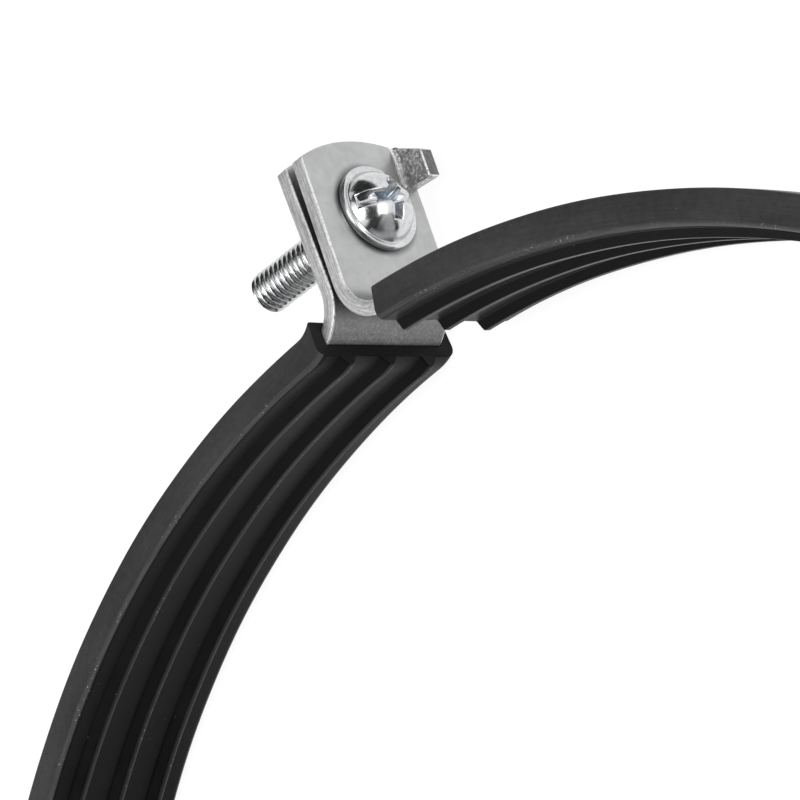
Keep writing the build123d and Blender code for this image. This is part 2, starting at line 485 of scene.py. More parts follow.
class NodeDesk:
    """Places nodes in one tree and links them."""

    def __init__(self, tree: bpy.types.NodeTree) -> None:
        """Start with an empty tree."""
        self.tree = tree
        tree.nodes.clear()

    def place(self, kind: str, **settings: object) -> bpy.types.Node:
        """Add a node of a kind, such as "ShaderNodeMath", and set its properties."""
        node = self.tree.nodes.new(kind)
        for name, value in settings.items():
            setattr(node, name, value)
        return node

    def feed(self, socket: Socket, value: object) -> None:
        """Link a socket to another node's output, or write a plain value into it."""
        if isinstance(value, bpy.types.NodeSocket):
            self.tree.links.new(value, socket)
        elif value is not None:
            socket.default_value = value

    def maths(self, how: str, *values: object) -> Socket:
        """Add a Math node and return its output."""
        node = self.place("ShaderNodeMath", operation=how)
        for socket, value in zip(node.inputs, values, strict=False):
            self.feed(socket, value)
        return node.outputs[0]

    def times(self, first: object, second: object) -> Socket:
        """Multiply two values."""
        return self.maths("MULTIPLY", first, second)

    def times_plus(self, value: object, factor: object, extra: object) -> Socket:
        """Multiply a value by a factor and add a third value."""
        return self.maths("MULTIPLY_ADD", value, factor, extra)

    def mark(self, label: str) -> Socket:
        """Read one of the mesh's marks, "cut" or "wear"."""
        return self.place("ShaderNodeAttribute", attribute_name=label).outputs["Fac"]

    def span(self, value: object, low: float, high: float, to: tuple[float, float] = (0, 1)) -> Socket:
        """Map a value smoothly from one range to another and hold it at the ends."""
        node = self.place("ShaderNodeMapRange", interpolation_type="SMOOTHSTEP")
        for name, number in zip(
            ("Value", "From Min", "From Max", "To Min", "To Max"), (value, low, high, *to), strict=True
        ):
            self.feed(node.inputs[name], number)
        return node.outputs["Result"]

    def noise(self, vector: object, scale: object, detail: float = 3.0, rough: float = 0.55) -> Socket:
        """Add a Noise Texture and return its value."""
        node = self.place("ShaderNodeTexNoise")
        self.feed(node.inputs["Vector"], vector)
        self.feed(node.inputs["Scale"], scale)
        node.inputs["Detail"].default_value = detail
        node.inputs["Roughness"].default_value = rough
        return node.outputs["Fac"]

    def stretch(self, vector: object, scale: tuple[float, float, float]) -> Socket:
        """Scale a vector along each axis and return it."""
        node = self.place("ShaderNodeMapping")
        self.feed(node.inputs["Vector"], vector)
        node.inputs["Scale"].default_value = scale
        return node.outputs["Vector"]

    def blend(self, share: object, first: object, second: object) -> Socket:
        """Mix two colours and return the result."""
        node = self.place("ShaderNodeMix", data_type="RGBA", clamp_factor=True)
        self.feed(node.inputs[0], share)
        self.feed(node.inputs[6], first)
        self.feed(node.inputs[7], second)
        return node.outputs[2]

    def use(self, group: bpy.types.NodeTree, **values: object) -> bpy.types.Node:
        """Place a node group and feed its inputs by name."""
        node = self.place("ShaderNodeGroup", node_tree=group)
        for name, value in values.items():
            self.feed(node.inputs[name], value)
        return node


def grey(level: float, warm: float = 0.0) -> tuple[float, float, float, float]:
    """Return a near-neutral colour; a positive warmth lifts red and lowers blue."""
    return (level * (1 + warm), level, level * (1 - warm), 1.0)


def open_group(name: str, inputs: dict[str, str], outputs: dict[str, str]) -> tuple:
    """Start a shader node group with named sockets.

    Args:
        name: The group's name.
        inputs: Socket types by input name, such as {"Scale": "NodeSocketFloat"}.
        outputs: Socket types by output name.

    Returns:
        The group, its desk, its input node's outputs and its output node's inputs.
    """
    group = bpy.data.node_groups.new(name, "ShaderNodeTree")
    for label, kind in inputs.items():
        group.interface.new_socket(label, in_out="INPUT", socket_type=kind)
    for label, kind in outputs.items():
        group.interface.new_socket(label, in_out="OUTPUT", socket_type=kind)
    desk = NodeDesk(group)
    entry = desk.place("NodeGroupInput")
    result = desk.place("NodeGroupOutput")
    return group, desk, entry.outputs, result.inputs


FLOAT, VECTOR = "NodeSocketFloat", "NodeSocketVector"


@dataclass
class GroupShelf:
    """The node groups that more than one finish uses, each built once."""

    built: dict[str, bpy.types.NodeTree] = field(default_factory=dict)

    def take(self, name: str) -> bpy.types.NodeTree:
        """Return a group by the name of the method that builds it."""
        if name not in self.built:
            self.built[name] = getattr(self, name)()
        return self.built[name]

    def mottle(self) -> bpy.types.NodeTree:
        """Cloudy unevenness in two sizes, and a fine grain.

        Returns:
            A group with the outputs Cloud and Grain, both from 0 to 1.
        """
        group, desk, source, result = open_group(
            "mottle", {"Vector": VECTOR, "Size": FLOAT}, {"Cloud": FLOAT, "Grain": FLOAT}
        )
        broad = desk.noise(source["Vector"], source["Size"], 4.0, 0.6)
        fine = desk.noise(source["Vector"], desk.times(source["Size"], 9.0), 5.0, 0.7)
        small = desk.noise(source["Vector"], desk.times(source["Size"], 3.1), 3.0, 0.6)
        cloud = desk.maths("ADD", desk.times(broad, 0.6), desk.times(small, 0.4))
        desk.feed(result["Cloud"], desk.span(cloud, 0.3, 0.7))
        desk.feed(result["Grain"], fine)
        return group

    def specks(self) -> bpy.types.NodeTree:
        """Sparse small spots of uneven size.

        Returns:
            A group with the output Mask, 1 on a speck.
        """
        group, desk, source, result = open_group(
            "specks",
            {"Vector": VECTOR, "Scale": FLOAT, "Share": FLOAT},
            {"Mask": FLOAT},
        )
        cell = desk.place("ShaderNodeTexVoronoi", feature="F1")
        desk.feed(cell.inputs["Vector"], source["Vector"])
        desk.feed(cell.inputs["Scale"], source["Scale"])
        cell.inputs["Randomness"].default_value = 1.0
        pick = desk.place("ShaderNodeTexWhiteNoise", noise_dimensions="3D")
        desk.feed(pick.inputs["Vector"], cell.outputs["Position"])
        chosen = desk.maths("LESS_THAN", pick.outputs["Value"], source["Share"])
        size = desk.times_plus(pick.outputs["Value"], 0.6, 0.12)
        near = desk.maths("SUBTRACT", size, cell.outputs["Distance"])
        mask = desk.span(near, 0.0, 0.08)
        desk.feed(result["Mask"], desk.times(mask, chosen))
        return group

    def drag_lines(self) -> bpy.types.NodeTree:
        """Fine lines drawn along a strip, from rolling, drawing or extruding.

        Returns:
            A group with the output Lines, from 0 to 1.
        """
        group, desk, source, result = open_group(
            "drag_lines", {"Strip": VECTOR, "Fineness": FLOAT}, {"Lines": FLOAT}
        )
        long = desk.stretch(source["Strip"], (0.03, 1.0, 1.0))
        desk.feed(result["Lines"], desk.noise(long, source["Fineness"], 4.0, 0.65))
        return group


SHELF = GroupShelf()


def specks(desk: NodeDesk, place: Socket, scale: float, share: float) -> Socket:
    """Return a mask of specks: how many stand in a metre, and the share of them that shows."""
    return desk.use(SHELF.take("specks"), Vector=place, Scale=scale, Share=share).outputs["Mask"]


def drag_lines(desk: NodeDesk, strip: Socket, fineness: float) -> Socket:
    """Return lines drawn along a strip; a higher fineness sets them closer together."""
    return desk.use(SHELF.take("drag_lines"), Strip=strip, Fineness=fineness).outputs["Lines"]


def open_material(name: str) -> tuple[bpy.types.Material, NodeDesk, bpy.types.Node]:
    """Start a material with a Principled shader linked to its output.

    Args:
        name: The material's name.

    Returns:
        The material, its desk and its shader node.
    """
    material = bpy.data.materials.new(name)
    material.use_nodes = True
    desk = NodeDesk(material.node_tree)
    shader = desk.place("ShaderNodeBsdfPrincipled")
    output = desk.place("ShaderNodeOutputMaterial")
    desk.feed(output.inputs["Surface"], shader.outputs["BSDF"])
    return material, desk, shader


def add_bump(desk: NodeDesk, shader: bpy.types.Node, height: object, depth: float) -> None:
    """Feed a height in metres times a depth into the shader's normal."""
    bump = desk.place("ShaderNodeBump")
    bump.inputs["Strength"].default_value = 1.0
    bump.inputs["Distance"].default_value = depth
    desk.feed(bump.inputs["Height"], height)
    desk.feed(shader.inputs["Normal"], bump.outputs["Normal"])


# ---------------------------------------------------------------------------
# Finishes
# ---------------------------------------------------------------------------


@dataclass(frozen=True)
class SatinZinc:
    """Zinc-plated strip: satin rolled faces, rougher sheared edges and soil by the rubber, with painted
    shade and painted glints on the lugs and near the bends, and a painted shadow ring round each
    screw's collar.
    """

    face: float = 0.51
    dull: float = 0.43
    torn_dark: float = 0.44
    torn_light: float = 0.84
    # Grey of the burnished edges, and of the painted glints on the lugs and near the bends.
    burnish_and_glint_grey: float = 0.90
    # Grey of the soil by the rubber, and of the painted shade on the lugs and round the collars.
    soil_and_shade_grey: float = 0.11
    spotted: float = 0.04
    roughness: float = 0.38
    relief: float = 10e-6
    # Outer and inner radius of the painted shadow ring round a screw's collar, and its share.
    collar_ring: tuple[float, float] = (7.1, 6.0)
    collar_shadow_share: float = 0.75

    def material(self, name: str) -> bpy.types.Material:
        """Build the strip's material."""
        material, desk, shader = open_material(name)
        place = desk.place("ShaderNodeTexCoord").outputs["Object"]
        strip = desk.place("ShaderNodeUVMap", uv_map="strip").outputs["UV"]
        sheared = desk.mark("cut")
        soil = desk.mark("wear")
        mottle = desk.use(SHELF.take("mottle"), Vector=place, Size=260.0).outputs
        rolled = drag_lines(desk, strip, 3.0)
        torn = drag_lines(desk, strip, 7.0)
        pits = specks(desk, place, 2300.0, 0.16)
        spots = specks(desk, place, 2600.0, 0.30)
        tone = desk.blend(mottle["Cloud"], grey(self.dull, -0.004), grey(self.face, -0.004))
        tone = desk.blend(desk.times(pits, 0.25), tone, grey(self.dull * 0.6))
        patchy = desk.times(soil, desk.span(mottle["Grain"], 0.3, 0.6, (0.72, 1.0)))
        tone = desk.blend(desk.times(patchy, 0.92), tone, grey(self.soil_and_shade_grey))
        spotted = desk.times(spots, desk.span(soil, 0.45, 1.0))
        tone = desk.blend(desk.times(spotted, 0.8), tone, grey(self.spotted))
        mixed = desk.times_plus(torn, 3.0, mottle["Grain"])
        flecks = desk.span(mixed, 1.6, 2.4)
        # Painted shade and painted glints on the lugs and near the bends, where wear is 0.1 to 0.5.
        shade_and_glint_zone = desk.times(desk.span(soil, 0.1, 0.25), desk.span(soil, 0.5, 0.35))
        painted_glint_specks = desk.times(shade_and_glint_zone, desk.span(mottle["Grain"], 0.50, 0.60))
        shade = desk.times(shade_and_glint_zone, desk.span(mottle["Cloud"], 0.6, 0.2))
        tone = desk.blend(desk.times(shade, 0.6), tone, grey(self.soil_and_shade_grey))
        tone = desk.blend(desk.times(painted_glint_specks, 0.6), tone, grey(self.burnish_and_glint_grey))
        edge_tone = desk.blend(flecks, grey(self.torn_dark), grey(self.torn_light))
        on_edge = desk.span(sheared, 0.45, 0.75)
        brink = desk.times(desk.span(sheared, 0.03, 0.2), desk.span(sheared, 0.9, 0.6))
        brink = desk.times(brink, desk.span(mottle["Grain"], 0.36, 0.52))
        tone = desk.blend(on_edge, tone, edge_tone)
        # Painted contact shadow: a darker ring round each screw's collar.
        tone = desk.blend(self.collar_shadow_mark(desk, place), tone, grey(self.soil_and_shade_grey))
        desk.feed(shader.inputs["Base Color"], desk.blend(brink, tone, grey(self.burnish_and_glint_grey)))
        shader.inputs["Metallic"].default_value = 1.0
        rough = desk.times_plus(mottle["Cloud"], -0.06, self.roughness)
        rough = desk.times_plus(on_edge, 0.10, rough)
        desk.feed(shader.inputs["Roughness"], desk.times_plus(soil, 0.10, rough))
        texture = desk.times_plus(rolled, 0.35, mottle["Grain"])
        texture = desk.times_plus(painted_glint_specks, 1.5, texture)
        texture = desk.times_plus(desk.times(on_edge, flecks), 0.7, texture)
        add_bump(desk, shader, texture, self.relief)
        return material

    def collar_shadow_mark(self, desk: NodeDesk, place: Socket) -> Socket:
        """Return the share of painted shadow in the ring where a screw's collar meets the ear."""
        axes = desk.place("ShaderNodeSeparateXYZ")
        desk.feed(axes.inputs[0], place)
        out = desk.maths("SUBTRACT", desk.maths("ABSOLUTE", axes.outputs["X"]), SIZES.screw_x * MM)
        squares = [desk.times(side, side) for side in (out, axes.outputs["Z"])]
        distance = desk.maths("SQRT", desk.maths("ADD", *squares))
        outer, inner = self.collar_ring
        return desk.span(distance, outer * MM, inner * MM, (0, self.collar_shadow_share))


@dataclass(frozen=True)
class BrightZinc:
    """Bright, faintly blue zinc on the turned and rolled screw, with painted shade in the thread's
    roots.
    """

    bright: float = 0.74
    stained: float = 0.56
    hollow: tuple[float, float, float, float] = (0.50, 0.56, 0.63, 1.0)
    # Grey of the painted shade in the thread's roots.
    root: float = 0.32
    pitted: float = 0.25
    roughness: float = 0.13
    relief: float = 9e-6

    def material(self, name: str) -> bpy.types.Material:
        """Build the screw's material."""
        material, desk, shader = open_material(name)
        place = desk.place("ShaderNodeTexCoord").outputs["Object"]
        deep = desk.mark("wear")
        rolled = desk.mark("cut")
        mottle = desk.use(SHELF.take("mottle"), Vector=place, Size=420.0).outputs
        pits = specks(desk, place, 4200.0, 0.45)
        tone = desk.blend(mottle["Cloud"], grey(self.bright, -0.012), grey(self.stained, -0.012))
        tone = desk.blend(desk.times(pits, 0.5), tone, grey(self.pitted))
        tone = desk.blend(desk.times(deep, 0.75), tone, self.hollow)
        # Painted shade: the thread's roots are painted darker.
        tone = desk.blend(rolled, tone, grey(self.root))
        desk.feed(shader.inputs["Base Color"], tone)
        shader.inputs["Metallic"].default_value = 1.0
        rough = desk.times_plus(mottle["Cloud"], 0.08, self.roughness)
        desk.feed(shader.inputs["Roughness"], desk.times_plus(rolled, 0.16, rough))
        texture = desk.times_plus(mottle["Grain"], 0.5, desk.times(pits, -0.5))
        add_bump(desk, shader, texture, self.relief)
        return material


@dataclass(frozen=True)
class BlackRubber:
    """Moulded black rubber with extrusion lines and dust. Its side walls are painted greyer, partly
    for scuffing and partly as painted light; painted sheen lies on the rounded edges beside them
    and a painted highlight on one corner of each rib's crest.
    """

    black: float = 0.0025
    greyed: float = 0.006
    sawn: float = 0.022
    # Grey of the side walls: partly scuffing, partly painted light.
    scuffed_and_lit_side: float = 0.044
    pale: float = 0.075
    # Grey of the painted sheen on rounded edges and the painted highlights on rib crests.
    crest: float = 0.09
    lint: float = 0.6
    dust: float = 0.30
    roughness: float = 0.27
    shine: float = 0.08
    relief: float = 20e-6

    def material(self, name: str) -> bpy.types.Material:
        """Build the lining's material."""
        material, desk, shader = open_material(name)
        place = desk.place("ShaderNodeTexCoord").outputs["Object"]
        strip = desk.place("ShaderNodeUVMap", uv_map="strip").outputs["UV"]
        sawn = desk.mark("cut")
        side = desk.mark("wear")
        mottle = desk.use(SHELF.take("mottle"), Vector=place, Size=110.0).outputs
        lines = drag_lines(desk, strip, 6.0)
        dust = specks(desk, place, 1300.0, 0.035)
        lint = specks(desk, place, 3600.0, 0.45)
        tone = desk.blend(mottle["Cloud"], grey(self.black), grey(self.greyed))
        streaks = desk.span(desk.maths("ADD", lines, mottle["Grain"]), 0.75, 1.25)
        broad = desk.span(desk.noise(desk.stretch(strip, (0.2, 0.6, 1.0)), 0.15, 2.0), 0.35, 0.65)
        streaks = desk.times_plus(broad, 0.6, desk.times(streaks, 0.4))
        # Side walls painted greyer than the inner faces: partly scuffing, partly painted light.
        worn = desk.blend(streaks, grey(self.scuffed_and_lit_side * 0.65), grey(self.scuffed_and_lit_side * 1.4))
        tone = desk.blend(side, tone, worn)
        scuff = desk.span(desk.noise(desk.stretch(strip, (0.05, 0.9, 1.0)), 1.0, 6.0, 0.75), 0.58, 0.75)
        scuff = desk.times(scuff, desk.times_plus(side, 0.40, 0.08))
        tone = desk.blend(scuff, tone, grey(self.pale))
        # Painted sheen: the rounded corners beside the side walls, and the crest marks, are painted paler.
        brow = desk.times(desk.span(side, 0.02, 0.3), desk.span(side, 1.0, 0.6))
        patchy = desk.span(desk.noise(strip, 0.09, 2.0), 0.45, 0.62)
        line_dust = desk.times(desk.times(brow, patchy), lint)
        painted_edge_sheen = desk.times(brow, desk.span(lines, 0.25, 0.6, (0.3, 0.9)))
        tone = desk.blend(painted_edge_sheen, tone, grey(self.crest))
        tone = desk.blend(line_dust, tone, grey(self.lint))
        tone = desk.blend(desk.times(dust, 0.5), tone, grey(self.dust))
        # Painted highlight: a pale line along one corner of each rib's crest.
        crest = desk.times(desk.span(side, 0.27, 0.34), desk.span(side, 0.46, 0.36))
        crest = desk.times(crest, desk.span(lines, 0.3, 0.6, (0.35, 1.0)))
        tone = desk.blend(desk.times(crest, 0.8), tone, grey(self.crest))
        tone = desk.blend(sawn, tone, grey(self.sawn))
        desk.feed(shader.inputs["Base Color"], tone)
        shader.inputs["Specular IOR Level"].default_value = self.shine
        rough = desk.times_plus(mottle["Cloud"], 0.08, self.roughness)
        rough = desk.times_plus(side, 0.14, rough)
        desk.feed(shader.inputs["Roughness"], desk.times_plus(sawn, 0.25, rough))
        texture = desk.times_plus(lines, 0.8, desk.times(mottle["Grain"], 0.7))
        add_bump(desk, shader, texture, self.relief)
        return material


def dress(piece: bpy.types.Object, material: bpy.types.Material) -> None:
    """Give a piece one material all over."""
    piece.data.materials.clear()
    piece.data.materials.append(material)


# ---------------------------------------------------------------------------
# Sub-assemblies
# ---------------------------------------------------------------------------


@dataclass
class Strip:
    """A flat bar with rounded edges, carried along a bent path.

    Its edges and its set-back at the ends may change along and across the bar. The set-back
    fades out over the given distance from each end.
    """

    path: BentPath
    thickness: float
    stations: Array
    edges: Callable[[Array], tuple[Array, Array]]
    setback: Callable[[Array], Array]
    soil: Callable[[Array], Array]
    fade: float
    across: int = 36
    corner: int = 5
    end_steps: int = 5

    def shell(self, to_world: Callable[[Array, Array], Array]) -> Shell:
        """Work out the bar's surface.

        A point at distance s along, w across and t through the bar lies at the path's point at
        s, moved by t along the path's normal and by w along the pipe. At each end the loops
        shrink onto their core as a quarter circle does.

        Args:
            to_world: Turns points of the path's plane and the distances across into X, Y and Z.

        Returns:
            The closed surface.
        """
        core, push = rounded_loop(self.across, self.corner)
        radius, total = SIZES.edge_round, self.path.length
        turn = np.linspace(0, math.pi / 2, self.end_steps + 1)[:-1]
        ends = radius * (1 - np.cos(turn))
        nominal = np.concatenate([ends, self.stations, total - ends[::-1]])
        full = np.concatenate([np.sin(turn), np.ones(len(self.stations)), np.sin(turn)[::-1]])
        low, high = self.edges(nominal)
        middle, half = (low + high) / 2, (high - low) / 2 - radius
        across = middle[:, None] + core[:, 0] * half[:, None]
        across = across + full[:, None] * radius * push[:, 0]
        through = core[:, 1] * (self.thickness / 2 - radius) + full[:, None] * radius * push[:, 1]
        pull = self.setback(across)
        first = np.clip(1 - nominal / self.fade, 0, 1)[:, None]
        last = np.clip(1 - (total - nominal) / self.fade, 0, 1)[:, None]
        along = nominal[:, None] + pull * (first - last)
        points, normals = self.path.at(along)
        world = to_world(points + normals * through[..., None], across)
        cut = 1 - full[:, None] * (1 - np.abs(push[:, 0]))
        uv = np.stack([along, across + through], -1)
        wear = self.soil(nominal)[:, None] * (core[:, 1] < 0)
        return Shell(world, uv, cut, wear, strip_caps(self.across, len(core)))


@dataclass
class BandHalf:
    """One steel half: a half ring with an ear and a screw hole at each end."""

    half: Half
    bend: float
    lean: float
    hole_radius: float
    name: str
    ear_steps: int = 34
    bend_steps: int = 20
    ring_steps: int = 230
    tip_reach: float = 6.0
    tip_margin: float = 0.02
    soil_lead: float = 6.0
    soil_run: float = 3.0
    drill_reach: float = 4.0
    drill_steps: int = 72

    def stations(self, ear: float, bend: float, total: float) -> Array:
        """List the distances at which the strip's loops stand, closest together in the bends."""
        flat = np.linspace(SIZES.edge_round, ear, self.ear_steps, endpoint=False)
        turn = np.linspace(ear, ear + bend, self.bend_steps, endpoint=False)
        ring = np.linspace(ear + bend, total - ear - bend, self.ring_steps)
        start = np.sort(np.concatenate([flat, self.steps_in_edge(), turn]))
        return np.concatenate([start, ring, (total - start)[::-1]])

    def steps_in_edge(self) -> Array:
        """List extra distances where an edge steps in; a plain half has none."""
        return np.zeros(0)

    def edges(self, along: Array, ear: float, total: float) -> tuple[Array, Array]:
        """Return the strip's two edges across the band at distances along it."""
        return np.full(along.shape, -SIZES.half_band), np.full(along.shape, SIZES.half_band)

    def tip_setback(self, across: Array) -> Array:
        """Return how far the ear's arc lies behind its furthest point, at places across it."""
        offset = across - SIZES.ear_arc_shift
        square = SIZES.band_thickness / 2 * math.sin(math.radians(self.lean))
        return SIZES.ear_arc - np.sqrt(SIZES.ear_arc**2 - offset**2) + square + self.tip_margin

    def build(self, material: bpy.types.Material) -> bpy.types.Object:
        """Build and dress the half.

        Args:
            material: The strip's finish.

        Returns:
            The finished piece.
        """
        path, ear, bend = half_ring_path(self.bend, self.lean)
        side = self.half.value

        def to_world(points: Array, across: Array) -> Array:
            return np.stack([points[..., 0], side * points[..., 1], across], -1)

        def soil(along: Array) -> Array:
            from_tip = np.minimum(along, path.length - along)
            return np.clip((from_tip - ear + self.soil_lead) / (bend + self.soil_run), 0, 1)

        strip = Strip(
            path=path,
            thickness=SIZES.band_thickness,
            stations=self.stations(ear, bend, path.length),
            edges=lambda along: self.edges(along, ear, path.length),
            setback=self.tip_setback,
            soil=soil,
            fade=self.tip_reach,
        )
        piece = make_piece(self.name, [strip.shell(to_world)], CRISP_ANGLE)
        self.add_details(piece)
        for joint in Joint:
            combine(piece, self.drill(joint), "DIFFERENCE", CRISP_ANGLE)
        dress(piece, material)
        return piece

    def add_details(self, piece: bpy.types.Object) -> None:
        """Add what only one of the halves has; a plain half gets nothing."""

    def drill(self, joint: Joint) -> bpy.types.Object:
        """Make the round bar that cuts a screw hole."""
        angle = np.linspace(0, FULL_TURN, self.drill_steps, endpoint=False)
        height = np.array([-self.drill_reach, self.drill_reach])[:, None]
        x = joint.value * SIZES.screw_x + self.hole_radius * np.cos(angle)
        z = self.hole_radius * np.sin(angle)
        points = np.stack(np.broadcast_arrays(x, height, z), -1)
        uv = np.stack(np.broadcast_arrays(angle * self.hole_radius, height), -1)
        full = np.ones(points.shape[:2])
        return make_piece("drill", [Shell(points, uv, full, full * 0)])


@dataclass
class LuggedHalf(BandHalf):
    """The upper half, whose ears each carry a lug folded forward from one edge."""

    lug_height: float = 4.5
    foot: tuple[float, float] = (3.3, 9.4)
    tip: tuple[float, float] = (2.9, 6.9)
    lug_bend: float = 0.6
    lug_shade_and_glint_mark: float = 0.30
    burr: float = 0.25
    burr_band: tuple[float, float] = (0.03, 0.2)
    notch_step: float = 1e-4
    lug_play: float = 0.02
    lug_clear: float = 0.05

    @property
    def trimmed_edge(self) -> float:
        """Place across the band of the ear's edge on the side of the lug."""
        return SIZES.front_trim - SIZES.half_band

    @property
    def fold_width(self) -> float:
        """Width of the lug's rounded fold."""
        return self.lug_bend + SIZES.band_thickness

    @property
    def notch_start(self) -> float:
        """Distance from the ear's tip to the lower end of the lug."""
        return SIZES.ear_top - self.foot[0]

    def steps_in_edge(self) -> Array:
        """Return the distance from the tip at which the ear makes room for the lug, twice."""
        return np.array([self.notch_start - self.notch_step, self.notch_start + self.notch_step])

    def edges(self, along: Array, ear: float, total: float) -> tuple[Array, Array]:
        """Return the ear's two edges: trimmed beside the lug, and notched at the lug."""
        low, high = super().edges(along, ear, total)
        from_tip = np.minimum(along, total - along)
        low = np.where(from_tip < ear, self.trimmed_edge, low)
        low = np.where(from_tip < self.notch_start, self.trimmed_edge + self.fold_width, low)
        return low, high

    def add_details(self, piece: bpy.types.Object) -> None:
        """Join a lug to each ear, mark it for painted shade and painted glints, and give its free edge a
        burr.
        """
        for joint in Joint:
            combine(piece, self.lug(joint), "UNION", CRISP_ANGLE)
        vertices = piece.data.vertices
        place = np.zeros(len(vertices) * 3, np.float32)
        vertices.foreach_get("co", place)
        x, y = place[0::3] / MM, place[1::3] / MM
        on_lug = (np.abs(x) > SIZES.screw_x) & (y > SIZES.front_face_y + self.lug_clear)
        below_end = SIZES.front_face_y + self.lug_height - y
        near, far = self.burr_band
        burr = np.where((below_end > near) & (below_end < far), self.burr, 0)
        # The lug's face is marked for painted shade and painted glints; its free end is fully marked as
        # soil.
        soil = np.where(below_end < near, 1, self.lug_shade_and_glint_mark)
        for label, mark in (("cut", burr), ("wear", soil)):
            values = np.zeros(len(vertices), np.float32)
            data = piece.data.attributes[label].data
            data.foreach_get("value", values)
            data.foreach_set("value", np.where(on_lug, mark, values).astype(np.float32))

    def lug(self, joint: Joint) -> bpy.types.Object:
        """Build the tapered tongue: along the ear, round its fold and up to its free edge.

        Args:
            joint: The joint whose ear carries it.

        Returns:
            The lug as a helper shape.
        """
        middle = self.lug_bend + SIZES.band_thickness / 2
        overlap = SIZES.band_thickness
        fold = middle * math.pi / 2
        centre_y = SIZES.ear_gap / 2 + self.fold_width
        top_y = SIZES.front_face_y + self.lug_height
        start_y = SIZES.ear_gap / 2 + SIZES.band_thickness / 2
        start = (self.trimmed_edge + self.fold_width + overlap, start_y)
        rise = top_y - centre_y
        path = BentPath(start, math.pi, ((overlap, 0.0), (fold, -1 / middle), (rise, 0.0)))
        margin = SIZES.edge_round
        bends = np.linspace(overlap, overlap + fold, 12)
        straight = np.linspace(overlap + fold, path.length - margin, 14)[1:]
        stations = np.concatenate([[margin], bends, straight])

        def edges(along: Array) -> tuple[Array, Array]:
            height = path.at(along)[0][..., 1]
            span = (SIZES.front_face_y, top_y)
            low = np.interp(height, span, (self.foot[0], self.tip[0]))
            return low, np.interp(height, span, (self.foot[1], self.tip[1]))

        def to_world(points: Array, across: Array) -> Array:
            x = joint.value * (SIZES.screw_x + across)
            return np.stack([x, points[..., 1], points[..., 0]], -1)

        strip = Strip(
            path=path,
            thickness=SIZES.band_thickness - self.lug_play,
            stations=stations,
            edges=edges,
            setback=np.zeros_like,
            soil=np.zeros_like,
            fade=overlap,
            across=14,
        )
        return make_piece("lug", [strip.shell(to_world)])


